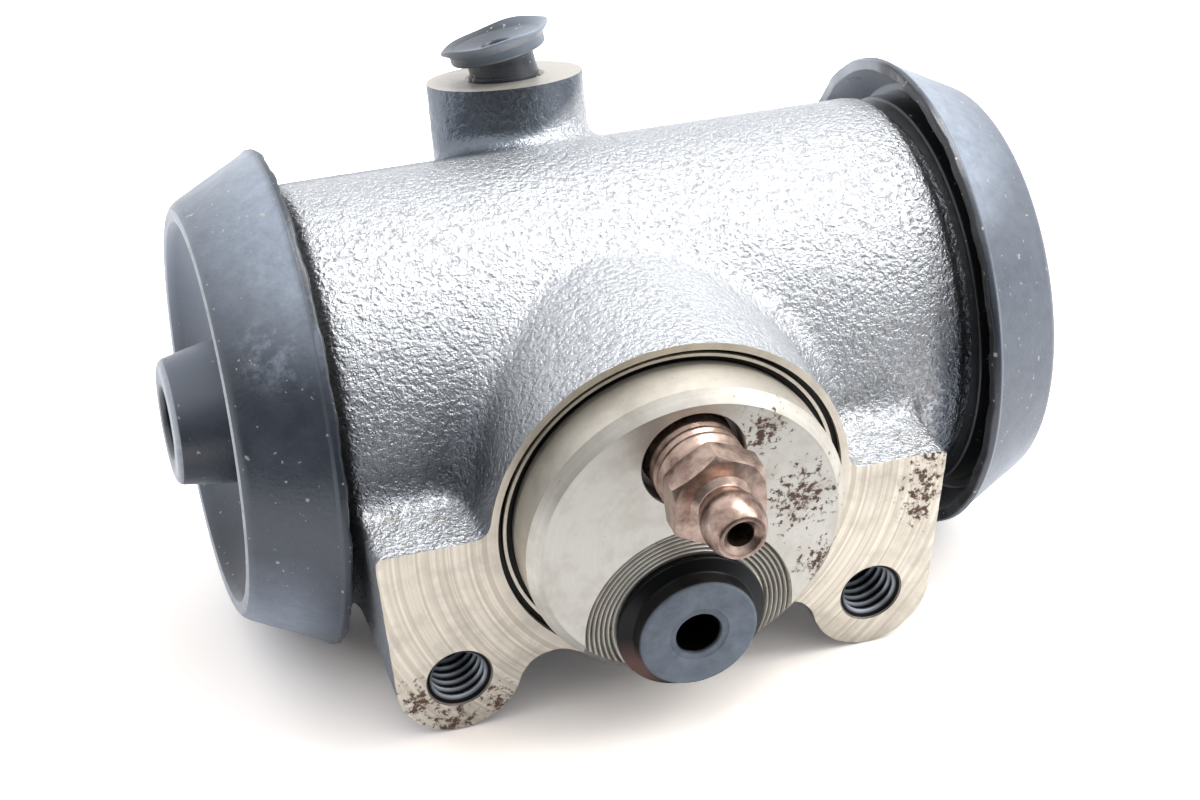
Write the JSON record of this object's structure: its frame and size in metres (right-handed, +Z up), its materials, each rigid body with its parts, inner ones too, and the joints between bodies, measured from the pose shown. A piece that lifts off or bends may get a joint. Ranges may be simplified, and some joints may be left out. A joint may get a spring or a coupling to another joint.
{
  "type": "drum brake wheel cylinder",
  "caption": "Cast iron drum brake wheel cylinder with opposed pistons behind rubber boots, a turned pilot between tapped ears, a bleeder screw and plugged line ports.",
  "frame": {"origin": "on the pilot's axis, in the plane of the mounting face", "axes": "+X along the barrel to the right as seen from the mounting face, -Y out of the mounting face along the pilot, +Z up towards the bleeder"},
  "size_m": [0.1154, 0.0934, 0.0687],
  "materials": {
    "casting": "bare iron casting, silvery grey, with turned beige-grey faces and rust spots",
    "piston": "turned",
    "seal_rubber": "matte",
    "pressed_steel": "plated, satin",
    "spring_wire": "drawn wire",
    "boot_rubber": "matte, dusty, worn lighter along its edges",
    "bleeder_metal": "copper-brown, satin",
    "plug_plastic": "moulded, satin",
    "plug_rubber": "matte"
  },
  "bodies": {
    "cylinder": {"cylinder_body": "casting", "left_boot": "boot_rubber", "right_boot": "boot_rubber", "return_spring": "spring_wire"},
    "left_piston": {"left_piston": "piston", "left_cup": "seal_rubber", "left_cup_expander": "pressed_steel"},
    "right_piston": {"right_piston": "piston", "right_cup": "seal_rubber", "right_cup_expander": "pressed_steel"},
    "bleeder": {"bleeder_screw": "bleeder_metal"},
    "inlet_plug": {"inlet_plug": "plug_plastic"},
    "crossover_plug": {"crossover_plug": "plug_rubber"}
  },
  "joints": [
    {"name": "left_piston_slide", "type": "slide", "parent": "cylinder", "child": "left_piston", "axis": [-1, 0, 0], "range_m": [-0.008, 0], "stiffness_N_per_m": 500, "springref_m": 0.02, "deforming": ["return_spring"]},
    {"name": "right_piston_slide", "type": "slide", "parent": "cylinder", "child": "right_piston", "axis": [1, 0, 0], "range_m": [-0.008, 0], "stiffness_N_per_m": 500, "springref_m": 0.02, "deforming": ["return_spring"]},
    {"name": "bleeder_turn", "type": "hinge", "parent": "cylinder", "child": "bleeder", "pos_m": [0, -0.00665, 0.0111], "axis": [0, -1, 0], "range_deg": [0, 270]},
    {"name": "inlet_plug_pull", "type": "slide", "parent": "cylinder", "child": "inlet_plug", "axis": [0, -1, 0], "range_m": [0, 0.03]},
    {"name": "crossover_plug_pull", "type": "slide", "parent": "cylinder", "child": "crossover_plug", "axis": [0, 0.2924, 0.9563], "range_m": [0, 0.03]}
  ]
}
